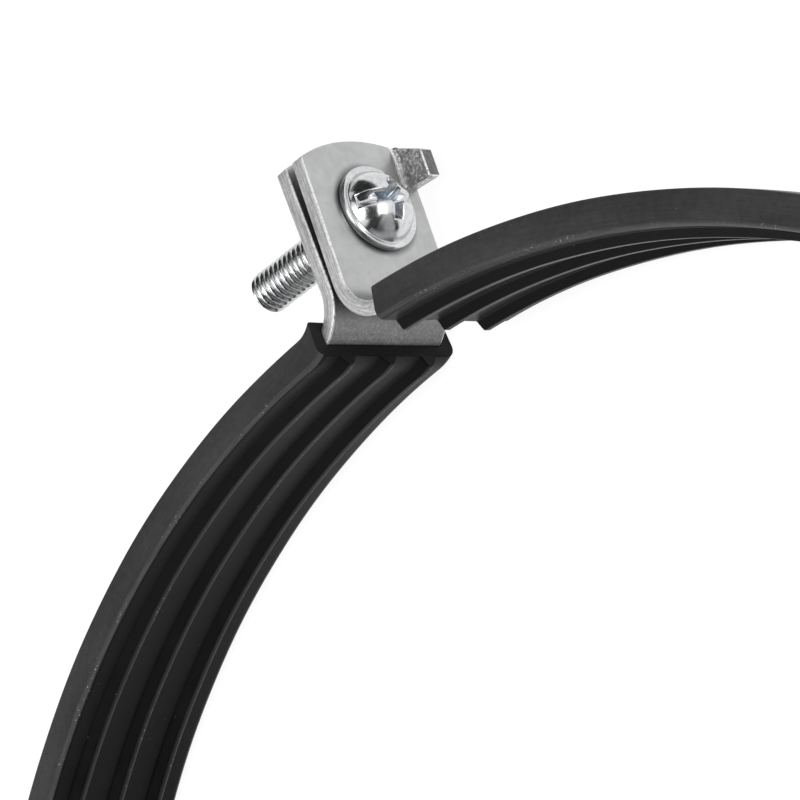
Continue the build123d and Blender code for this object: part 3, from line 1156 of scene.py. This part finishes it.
@dataclass
class Lining:
    """One half's rubber channel: three ribs inside, and lips hooked over the band's edges."""

    half: Half
    bend: float
    lean: float
    name: str
    setback: float = 0.0
    slant: float = 0.0
    side_thickness: float = 2.0
    lip_reach: float = 2.2
    side_round: float = 1.3
    rib_pitch: float = 7.1
    rib_crest: float = 1.0
    rib_root: float = 3.0
    rib_count: int = 3
    end_reach: float = 3.0
    sway: float = 0.05
    sway_waves: tuple[float, ...] = (61.0, 23.0, 97.0)
    sway_lag: float = 9.0
    wobble: float = 0.12
    wobble_waves: tuple[float, ...] = (11.0, 5.3)
    side_band: float = 0.9
    side_fade: float = 0.8
    # Strength and width of the mark for the painted highlight on a rib's crest.
    crest_highlight_mark: float = 0.35
    crest_highlight_band: float = 0.08
    end_offsets: tuple[float, ...] = (0.0, 0.0, 0.03, 0.1)
    end_shrink: tuple[float, ...] = (0.14, 0.11, 0.04, 0.0)
    sawn_from: float = 0.1
    lead_steps: int = 14
    steps: int = 260
    seed: int = 5
    crisp: float = 50.0

    @property
    def crest_level(self) -> float:
        """Place of the ribs' crests, out from the band's middle."""
        return SIZES.floor_radius - SIZES.band_middle - SIZES.rib_height

    def outline(self) -> Array:
        """Draw the channel's section: distance out from the band's middle, and across the band.

        Returns:
            The closed outline's points, of shape (points, 2).
        """
        floor, crest = SIZES.floor_radius - SIZES.band_middle, self.crest_level
        seat = SIZES.band_thickness / 2
        lip = seat + SIZES.lip_thickness
        edge, wall = SIZES.half_band, SIZES.half_band + self.side_thickness
        mouth = edge - self.lip_reach
        one_side = [
            (floor, wall, self.side_round),
            (lip, wall, 0.4),
            (lip, mouth, 0.3),
            (seat, mouth, 0.12),
            (seat, edge, 0.1),
            (-seat, edge, 0.1),
        ]
        other_side = [(out, -across, radius) for out, across, radius in reversed(one_side)]
        ribs = []
        for index in range(self.rib_count):
            middle = (index - (self.rib_count - 1) / 2) * self.rib_pitch
            ribs += [
                (floor, middle - self.rib_root / 2, 0.5),
                (crest, middle - self.rib_crest / 2, 0.35),
                (crest, middle + self.rib_crest / 2, 0.35),
                (floor, middle + self.rib_root / 2, 0.5),
            ]
        return rounded_outline(one_side + other_side + ribs)

    def build(self, material: bpy.types.Material) -> bpy.types.Object:
        """Build and dress the lining.

        The section is carried along the band's middle line. It shrinks a little at each end,
        where it was cut off, and its sides wander inwards by a few hundredths of a millimetre.

        Args:
            material: The rubber's finish.

        Returns:
            The finished piece.
        """
        path, ear, bend = half_ring_path(self.bend, self.lean)
        ring_start = ear + bend
        outline = self.outline()
        out, across = outline[:, 0], outline[:, 1]
        tangent = np.roll(outline, -1, 0) - np.roll(outline, 1, 0)
        tangent /= np.linalg.norm(tangent, axis=1, keepdims=True)
        inward = np.stack([-tangent[:, 1], tangent[:, 0]], -1)
        inward *= -np.sign(np.sum(outline * inward))
        perimeter = np.cumsum(np.linalg.norm(np.roll(outline, 1, 0) - outline, axis=1))
        nominal, shrink = self.stations(ring_start, path.length)
        sway = wander(self.seed, self.sway_waves, nominal[:, None], perimeter / self.sway_lag)
        section = outline + inward * (shrink[:, None, None] + self.sway * (1 + sway[..., None]))
        wobble = self.wobble * (1 + wander(self.seed + 1, self.wobble_waves, across + out))
        side = np.where(nominal < path.length / 2, 1, -1)[:, None]
        from_tip = np.minimum(nominal, path.length - nominal)[:, None]
        near_end = 1 - np.clip((from_tip - ring_start - self.setback) / self.end_reach, 0, 1)
        along = nominal[:, None] + side * near_end * (wobble + self.slant * out)
        radius = self.bend + SIZES.band_thickness / 2
        in_bend = np.clip(ring_start - from_tip, 0, None)
        along = along - side * in_bend * out / (radius - out)
        points, normals = path.at(along)
        flat = points + normals * section[..., :1]
        world = np.stack([flat[..., 0], self.half.value * flat[..., 1], section[..., 1]], -1)
        uv = np.stack([along, np.broadcast_to(perimeter, along.shape)], -1)
        cut = np.broadcast_to((shrink > self.sawn_from)[:, None], along.shape).astype(float)
        wear = np.broadcast_to(self.marks(out, across), along.shape)
        piece = make_piece(self.name, [Shell(world, uv, cut, wear)], self.crisp)
        dress(piece, material)
        return piece

    def marks(self, out: Array, across: Array) -> Array:
        """Mark the side walls, painted greyer, with painted sheen where the mark rises beside them, and
        one corner of each rib's crest, where a painted highlight goes.

        Args:
            out: Each outline point's distance out from the band's middle.
            across: Its place across the band.

        Returns:
            1 on a side wall, the crest's highlight mark on a crest, and 0 elsewhere.
        """
        wall = SIZES.half_band + self.side_thickness
        side = np.clip((np.abs(across) - wall + self.side_band) / self.side_fade, 0, 1)
        band = self.crest_highlight_band
        far_corner = (across / self.rib_pitch) % 1 > 0.5
        near_crest = np.clip(1.5 - np.abs(out - self.crest_level - band) / band, 0, 1)
        return np.maximum(side, self.crest_highlight_mark * far_corner * near_crest)

    def stations(self, ring_start: float, total: float) -> tuple[Array, Array]:
        """List where the section stands and how far it is shrunk there.

        Within a bend each fibre of the rubber keeps its own length, so one near the bend's
        centre reaches further round it.

        Args:
            ring_start: Distance from the path's start to the end of its first bend.
            total: Length of the whole path.

        Returns:
            The distances and the shrinkage at each.
        """
        start = ring_start + self.setback
        lead, shrink = start + np.array(self.end_offsets), np.array(self.end_shrink)
        root = max(start, ring_start) + 2.0
        first = np.concatenate([lead, np.linspace(start + 0.3, root, self.lead_steps)])
        body = np.linspace(root + 1.0, total - root - 1.0, self.steps)
        nominal = np.concatenate([first, body, total - first[::-1]])
        flat = np.zeros(self.lead_steps + self.steps + self.lead_steps)
        return nominal, np.concatenate([shrink, flat, shrink[::-1]])


def thread_rise(phase: Array) -> Array:
    """Return a thread's height, from 0 at its root to 1 at its crest.

    Each turn is a broad, worn ridge: a parabola over the pitch, drawn out a little towards a
    point, with a narrow root between it and the next.
    """
    away = np.abs(phase - np.floor(phase) - 0.5) * 2
    return 0.35 * away + 0.65 * (1 - (1 - away) ** 2)


@dataclass
class Screw:
    """An M6 screw with a collar and a domed head with a combined cross and slot recess."""

    joint: Joint
    length: float = 24.0
    major: float = 2.98
    minor: float = 2.5
    pitch: float = 1.0
    point: float = 0.9
    collar_radius: float = 6.0
    collar: float = 1.0
    rim: float = 0.3
    dome_radius: float = 5.1
    dome_height: float = 3.5
    recess_turn: float = 1.5
    slot_blade: tuple[float, ...] = (4.75, 4.1, 1.9, 0.35, 1.15)
    cross_blade: tuple[float, ...] = (3.2, 1.1, 1.5, 0.6, 2.3)
    well_radius: float = 1.5
    well_depth: float = 2.7
    well_slope: float = 3.0
    brim: float = 0.12
    tip_blend: float = 0.08
    tip_face: float = 0.92
    face_edge: float = 5.3
    face_steps: int = 8
    dish: float = 0.12
    dome_blend: float = 0.18
    hollow_from: float = 0.8
    hollow_run: float = 1.2
    crisp: float = 60.0
    thread_columns: int = 96
    rows_per_pitch: int = 12
    head_columns: int = 384
    head_rows: int = 104

    @property
    def name(self) -> str:
        """The piece's name."""
        return f"{self.joint.name.lower()}_screw_turned"

    def stand(self, radius: Array, angle: Array, height: Array) -> Array:
        """Place points given about the screw's axis, with heights above its seat."""
        x = self.joint.value * SIZES.screw_x + radius * np.cos(angle)
        y = SIZES.front_face_y + height
        return np.stack(np.broadcast_arrays(x, y, -radius * np.sin(angle)), -1)

    def shank(self) -> Shell:
        """Work out the threaded shank.

        Its radius at an angle and a height is the thread's profile at the phase
        (height - pitch * angle / full turn) / pitch, held within the chamfer at the tip.

        Returns:
            The closed surface.
        """
        count = int(self.length / self.pitch) * self.rows_per_pitch
        height = np.linspace(-self.length, 0.2, count)[:, None]
        angle = np.linspace(0, FULL_TURN, self.thread_columns, endpoint=False)[None, :]
        phase = height / self.pitch - angle / FULL_TURN
        radius = self.minor + (self.major - self.minor) * thread_rise(phase)
        chamfer = self.major - np.clip(self.point - (height + self.length), 0, None)
        radius = smooth_least(radius, np.broadcast_to(chamfer, radius.shape), self.tip_blend)
        points = self.stand(radius, angle, height)
        inner = self.stand(radius[:1] * self.tip_face, angle, height[:1])
        points = np.concatenate([inner, points])
        flat = np.zeros(points.shape[:2])
        # Root mark: 1 in the thread's grooves, where the finish paints shade.
        root = np.concatenate([flat[:1], (1 - thread_rise(phase)) ** 2])
        return Shell(points, np.zeros(points.shape[:2] + (2,)), root, flat)

    def recess_depth(self, x: Array, y: Array) -> Array:
        """Return how deep the recess lies below the dome, and 0 outside it.

        Each blade of the recess is a slot along y whose walls slope in evenly from its mouth to
        its floor, so its depth is the least of its floor's, its side walls' and its end walls'.
        The cross has a cone at its middle.
        """
        turn = math.radians(self.recess_turn)
        u = x * math.cos(turn) - y * math.sin(turn)
        v = x * math.sin(turn) + y * math.cos(turn)
        slot, cross = self.slot_blade, self.cross_blade
        depth = (self.well_radius - np.hypot(x, y)) * self.well_slope
        depth = np.minimum(depth, self.well_depth)
        for across, along, blade in ((u, v, slot), (u, v, cross), (v, u, cross)):
            reach, floor_reach, width, floor_width, floor = blade
            side = (width / 2 - np.abs(across)) * 2 * floor / (width - floor_width)
            end = (reach - np.abs(along)) * floor / (reach - floor_reach)
            depth = np.maximum(depth, np.minimum(np.minimum(side, end), floor))
        return -smooth_least(-depth, np.zeros_like(depth), self.brim)

    def head(self) -> Shell:
        """Work out the collar and the dome.

        The upper side is a height over the collar's disc: the higher of the collar's face and
        the dome's sphere, less the depth of the recess.

        Returns:
            The closed surface.
        """
        angle = np.linspace(0, FULL_TURN, self.head_columns, endpoint=False)[None, :]
        ball = (self.dome_radius**2 + self.dome_height**2) / (2 * self.dome_height)
        top = self.collar + self.dome_height
        flat = self.collar_radius - self.rim
        face = np.linspace(flat, self.face_edge, self.face_steps)
        dome = np.linspace(self.face_edge - 0.05, 0.02, self.head_rows)
        radius = np.concatenate([face, dome])[:, None]
        sphere = top - ball + np.sqrt(np.clip(ball**2 - radius**2, 0, None))
        inwards = np.clip((flat - radius) / (flat - self.dome_radius), 0, 1)
        bare = -smooth_least(-sphere, self.dish * inwards - self.collar, self.dome_blend)
        x, y = radius * np.cos(angle), radius * np.sin(angle)
        depth = self.recess_depth(x, y)
        height = bare - depth
        turn = np.linspace(math.pi / 2, 0, 6)[:-1]
        corner = (self.collar - 2 * self.rim) / 2
        rim_radius, rim_height = [], []
        for sign, order in ((-1, turn), (1, turn[::-1])):
            rim_radius += list(flat + self.rim * np.cos(order))
            rim_height += list(self.collar / 2 + sign * (corner + self.rim * np.sin(order)))
        rim_radius = np.array([2.0, *rim_radius])[:, None]
        rim_height = np.array([0.0, *rim_height])[:, None]
        lower = self.stand(rim_radius, angle, rim_height)
        upper = self.stand(np.broadcast_to(radius, height.shape), angle, height)
        points = np.concatenate([lower, upper])
        hollow = np.clip((depth - self.hollow_from) / self.hollow_run, 0, 1)
        wear = np.concatenate([np.zeros(lower.shape[:2]), hollow])
        cut = np.zeros(points.shape[:2])
        return Shell(points, np.zeros(points.shape[:2] + (2,)), cut, wear)

    def build(self, material: bpy.types.Material) -> bpy.types.Object:
        """Build and dress the screw."""
        piece = make_piece(self.name, [self.shank(), self.head()], self.crisp)
        dress(piece, material)
        return piece


@dataclass
class ConnectionNut:
    """The long hexagon nut on the lower crown, tapped for the hanging rod."""

    across_flats: float = 13.0
    height: float = 10.0
    hole: float = 3.4
    thread_depth: float = 0.6
    pitch: float = 1.25
    chamfer: float = 0.8
    mouth: float = 0.6
    sunk: float = 0.3
    mouth_start: float = 0.7
    rows_per_pitch: int = 10
    columns: int = 180
    crisp: float = 28.0
    name: str = "connection_nut_threaded"

    def build(self, material: bpy.types.Material) -> bpy.types.Object:
        """Build and dress the nut.

        Each row is a ring about the nut's axis. A ring of the outside has the radius
        a / cos(d), where a is half the width across flats and d the angle from the nearest
        flat's middle, held within the turned chamfer.

        Args:
            material: The nut's finish.

        Returns:
            The finished piece.
        """
        angle = np.linspace(0, FULL_TURN, self.columns, endpoint=False)
        top = SIZES.band_outer + self.height
        rows = [*self.bore(angle, top), *self.outside(angle, top)]
        rows.append(rows[0])
        radius, height = (
            np.array([np.broadcast_to(row[part], angle.shape) for row in rows]) for part in (0, 1)
        )
        points = np.stack([radius * np.cos(angle), -height, radius * np.sin(angle)], -1)
        uv = np.stack([np.broadcast_to(angle * self.hole, radius.shape), height], -1)
        plain = np.zeros(radius.shape)
        piece = make_piece(self.name, [Shell(points, uv, plain, plain, ())], self.crisp)
        dress(piece, material)
        return piece

    def bore(self, angle: Array, top: float) -> list[tuple[Array | float, Array | float]]:
        """List the rings of the threaded hole, from the band up to its countersunk mouth.

        Args:
            angle: The angles of a ring's points.
            top: Distance of the nut's end from the ring's axis.

        Returns:
            Each ring's radius and height.
        """
        rings = []
        start, end = SIZES.band_outer - self.sunk, top - self.mouth
        for height in np.arange(start, end, self.pitch / self.rows_per_pitch):
            phase = height / self.pitch - angle / FULL_TURN
            rings.append((self.hole + self.thread_depth * (1 - thread_rise(phase)), height))
        for share in np.linspace(0, 1, 4):
            opened = self.mouth_start + (1 - self.mouth_start) * share
            rings.append((self.hole + self.thread_depth * opened, top - self.mouth * (1 - share)))
        return rings

    def outside(self, angle: Array, top: float) -> list[tuple[Array | float, Array | float]]:
        """List the rings of the end face, the turned chamfer and the flats, down to the band.

        Args:
            angle: The angles of a ring's points.
            top: Distance of the nut's end from the ring's axis.

        Returns:
            Each ring's radius and height.
        """
        sixth, inside = math.pi / 3, self.across_flats / 2
        flats = inside / np.cos(angle % sixth - sixth / 2)
        rim = self.hole + self.thread_depth
        rings = [(rim + (inside - rim) * share, top) for share in np.linspace(0.1, 1, 6)]
        for drop in np.linspace(0, self.chamfer, 8)[1:]:
            rings.append((np.minimum(flats, inside + drop), top - drop))
        wall = np.minimum(flats, inside + self.chamfer)
        foot = np.sqrt(SIZES.band_outer**2 - (wall * np.cos(angle)) ** 2)
        for share in np.linspace(0, 1, 12)[1:]:
            rings.append((wall, (top - self.chamfer) * (1 - share) + foot * share))
        return rings


# ---------------------------------------------------------------------------
# Studio
# ---------------------------------------------------------------------------


Direction = tuple[float, float, float]


@dataclass
class Studio:
    """A white floor, a white world, soft lamps, and dark cards for the metal to reflect.

    A lamp is given by its direction from the joint, its distance and side in millimetres, and
    its power in watts, and a card by its direction, distance and side. The floor keeps a share
    of its painted surface in sight, and with it the clamp's shadow.
    """

    lamps: tuple[tuple[str, Direction, float, float, float], ...] = (
        ("overhead_lamp", (0.10, 0.22, 0.97), 950, 520, 4.2),
        ("front_lamp", (0.25, 0.95, 0.20), 900, 360, 1.3),
    )
    cards: tuple[tuple[str, Direction, float, float], ...] = (
        ("back_card", (-0.55, -0.50, 0.66), 800, 560),
        ("end_card", (-0.90, 0.36, 0.20), 700, 640),
        ("corner_card", (-0.60, 0.33, 0.72), 700, 420),
        ("camera_card", (0.30, 0.66, 0.68), 760, 520),
        ("inner_card", (0.88, 0.34, 0.34), 700, 680),
    )
    floor_paint: float = 0.85
    card_paint: float = 0.03
    floor_drop: float = 12.0
    floor_half: float = 6000.0
    floor_glow: float = 0.78
    glow_level: float = 0.91
    world_level: float = 0.5
    centre: tuple[float, float, float] = (-130.0, 0.0, 0.0)

    def build(self) -> None:
        """Set up the floor, the lamps, the cards, the world and the colour management."""
        self.floor()
        self.world()
        for lamp in self.lamps:
            self.lamp(*lamp)
        for card in self.cards:
            self.card(*card)
        bpy.context.scene.view_settings.view_transform = "Standard"

    def floor(self) -> None:
        """Lay a pale floor under the clamp; it looks white and keeps the clamp's shadow."""
        level = Matrix.Translation((0, 0, -self.floor_drop * MM))
        floor = self.sheet("floor", level, self.floor_half * MM)
        material, desk, paint, output = self.painted("white_floor", self.floor_paint)
        glow = desk.place("ShaderNodeEmission")
        glow.inputs["Color"].default_value = grey(1.0)
        desk.feed(glow.inputs["Strength"], desk.times(self.seen(desk), self.glow_level))
        thinned = desk.place("ShaderNodeMixShader")
        desk.feed(thinned.inputs[0], desk.times(self.seen(desk), self.floor_glow))
        desk.feed(thinned.inputs[1], paint.outputs[0])
        both = desk.place("ShaderNodeAddShader")
        desk.feed(both.inputs[0], thinned.outputs[0])
        desk.feed(both.inputs[1], glow.outputs[0])
        desk.feed(output.inputs["Surface"], both.outputs[0])
        dress(floor, material)

    @staticmethod
    def painted(name: str, level: float) -> tuple:
        """Start a plain painted material.

        Args:
            name: The material's name.
            level: How light its grey is.

        Returns:
            The material, its desk, its paint node and its output node.
        """
        material = bpy.data.materials.new(name)
        material.use_nodes = True
        desk = NodeDesk(material.node_tree)
        paint = desk.place("ShaderNodeBsdfDiffuse")
        paint.inputs["Color"].default_value = grey(level)
        output = desk.place("ShaderNodeOutputMaterial")
        desk.feed(output.inputs["Surface"], paint.outputs[0])
        return material, desk, paint, output

    @staticmethod
    def seen(desk: NodeDesk) -> Socket:
        """Return 1 for a ray from the camera, off a glossy surface or through a clear one, else 0."""
        ray = desk.place("ShaderNodeLightPath").outputs
        bounced = desk.maths("MAXIMUM", ray["Is Glossy Ray"], ray["Is Transmission Ray"])
        return desk.maths("MAXIMUM", ray["Is Camera Ray"], bounced)

    @staticmethod
    def sheet(name: str, placing: Matrix, half: float) -> bpy.types.Object:
        """Make a square stage piece.

        Args:
            name: The sheet's name.
            placing: Where its middle lies and how it is turned.
            half: Half of its side, in metres.

        Returns:
            The sheet, at the origin, with its corners in place.
        """
        mesh = bpy.data.meshes.new(name)
        square = ((-half, -half, 0), (half, -half, 0), (half, half, 0), (-half, half, 0))
        corners = [tuple(placing @ Vector(corner)) for corner in square]
        mesh.from_pydata(corners, [], [(0, 1, 2, 3)])
        sheet = bpy.data.objects.new(name, mesh)
        bpy.context.scene.collection.objects.link(sheet)
        return sheet

    def world(self) -> None:
        """Make the surroundings white to the camera and softer as a light."""
        world = bpy.data.worlds.new("studio")
        world.use_nodes = True
        desk = NodeDesk(world.node_tree)
        back = desk.place("ShaderNodeBackground")
        back.inputs["Color"].default_value = grey(1.0)
        desk.feed(back.inputs["Strength"], desk.span(self.seen(desk), 0, 1, (self.world_level, 1.0)))
        output = desk.place("ShaderNodeOutputWorld")
        desk.feed(output.inputs["Surface"], back.outputs[0])
        bpy.context.scene.world = world

    def facing(self, towards: Sequence[float], distance: float) -> Matrix:
        """Return the placing of a flat thing that hangs in a direction and faces the joint."""
        heading = Vector(towards).normalized()
        place = (Vector(self.centre) + heading * distance) * MM
        return Matrix.Translation(place) @ heading.to_track_quat("Z", "Y").to_matrix().to_4x4()

    def lamp(self, name: str, towards: Sequence[float], distance: float, size: float, watts: float) -> None:
        """Hang one square soft lamp.

        Args:
            name: The lamp's name.
            towards: The direction from the joint to the lamp.
            distance: How far away it hangs, in millimetres.
            size: Its side, in millimetres.
            watts: Its power.
        """
        data = bpy.data.lights.new(name, "AREA")
        data.shape, data.size, data.energy = "SQUARE", size * MM, watts
        lamp = bpy.data.objects.new(name, data)
        lamp.matrix_world = self.facing(towards, distance)
        bpy.context.scene.collection.objects.link(lamp)

    def card(self, name: str, towards: Sequence[float], distance: float, size: float) -> None:
        """Hang one black card that only reflections show.

        Args:
            name: The card's name.
            towards: The direction from the joint to the card.
            distance: How far away it hangs, in millimetres.
            size: Its side, in millimetres.
        """
        card = self.sheet(name, self.facing(towards, distance), size / 2 * MM)
        card.visible_camera = card.visible_diffuse = card.visible_shadow = False
        dress(card, self.painted(name, self.card_paint)[0])


@dataclass
class Viewpoint:
    """The camera: a long lens close above one joint, turned on its side."""

    place: tuple[float, float, float] = (19.75, 288.39, 307.24)
    aim: tuple[float, float, float] = (-120.78, -4.66, 0.0)
    roll: float = 90.595
    lens: float = 157.84
    sensor: float = 36.0
    clip: tuple[float, float] = (0.01, 50.0)

    def build(self) -> None:
        """Create the camera and make it the scene's own."""
        data = bpy.data.cameras.new("camera")
        data.lens, data.sensor_width = self.lens, self.sensor
        data.clip_start, data.clip_end = self.clip
        camera = bpy.data.objects.new("camera", data)
        ahead = (Vector(self.aim) - Vector(self.place)).normalized()
        level = ahead.cross(Vector((0, 0, 1))).normalized()
        over = level.cross(ahead)
        roll = math.radians(self.roll)
        up = over * math.cos(roll) + level * math.sin(roll)
        right = ahead.cross(up)
        turned = Matrix((right, up, -ahead)).transposed().to_4x4()
        camera.matrix_world = Matrix.Translation(Vector(self.place) * MM) @ turned
        bpy.context.scene.collection.objects.link(camera)
        bpy.context.scene.camera = camera


# ---------------------------------------------------------------------------
# Assembly
# ---------------------------------------------------------------------------


def seat(piece: bpy.types.Object, body: str, node: str, role: Role) -> None:
    """Put a piece on its body in place of its solid, and report it.

    Args:
        piece: The finished piece.
        body: The body that it rides on.
        node: The solid that it stands for.
        role: The material slot that it belongs to; not used.
    """
    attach(piece, body)
    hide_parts(node)
    LOG.info("%s rides on %s: %d faces", piece.name, body, len(piece.data.polygons))


def main() -> None:
    """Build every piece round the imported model, and the studio."""
    logging.basicConfig(level=logging.INFO, format="%(name)s: %(message)s")
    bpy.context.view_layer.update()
    strip = SatinZinc().material("satin_zinc_strip")
    dull = SatinZinc(face=0.36, dull=0.30, roughness=0.50).material("dull_zinc_nut")
    bright = BrightZinc().material("bright_zinc_screw")
    rubber = BlackRubber().material("black_rubber")

    upper = LuggedHalf(Half.UPPER, SIZES.front_bend, 0.0, 3.3, "upper_band_strip")
    lower = BandHalf(Half.LOWER, SIZES.back_bend, SIZES.back_lean, 3.05, "lower_band_strip")
    upper_rubber = Lining(
        Half.UPPER, SIZES.front_bend, 0.0, "upper_lining_channel", setback=0.9, slant=0.2
    )
    lower_rubber = Lining(
        Half.LOWER, SIZES.back_bend, SIZES.back_lean, "lower_lining_channel", setback=-3.2, seed=11
    )
    seat(upper.build(strip), "upper_half", "upper_band", Role.BAND)
    seat(lower.build(strip), "lower_half", "lower_band", Role.BAND)
    seat(upper_rubber.build(rubber), "upper_half", "upper_lining", Role.LINING)
    seat(lower_rubber.build(rubber), "lower_half", "lower_lining", Role.LINING)
    for joint in Joint:
        side = joint.name.lower()
        seat(Screw(joint).build(bright), f"{side}_screw", f"{side}_screw", Role.SCREW)
    seat(ConnectionNut().build(dull), "lower_half", "connection_nut", Role.BAND)

    Studio().build()
    Viewpoint().build()


if __name__ == "__main__":
    main()
